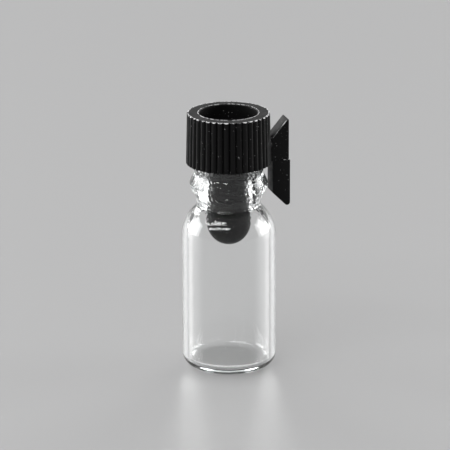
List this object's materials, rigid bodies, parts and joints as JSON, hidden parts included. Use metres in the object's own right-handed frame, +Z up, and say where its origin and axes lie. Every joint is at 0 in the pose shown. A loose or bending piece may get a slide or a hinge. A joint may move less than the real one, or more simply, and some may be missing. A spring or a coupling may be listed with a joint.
{
  "type": "glass sample vial",
  "caption": "Small clear glass tube vial with a rounded shoulder and rolled lip, closed by a push-in black plastic stopper with a ribbed hollow head and a flat side tab.",
  "frame": {"origin": "centre of the vial's flat base, on the vial's axis", "axes": "+Z up along the vial's axis towards the stopper; +X towards the stopper's side tab"},
  "size_m": [0.0126, 0.011, 0.0307],
  "materials": {
    "clear_glass": "clear colourless tubing glass, fire-polished",
    "black_plastic": "moulded black plastic, semi-gloss with fine speckle"
  },
  "bodies": {
    "vial": {"glass_vial": "clear_glass"},
    "stopper": {"stopper": "black_plastic"}
  },
  "joints": [
    {"name": "stopper_pull", "type": "slide", "parent": "vial", "child": "stopper", "axis": [0, 0, 1], "range_m": [0, 0.012]}
  ]
}
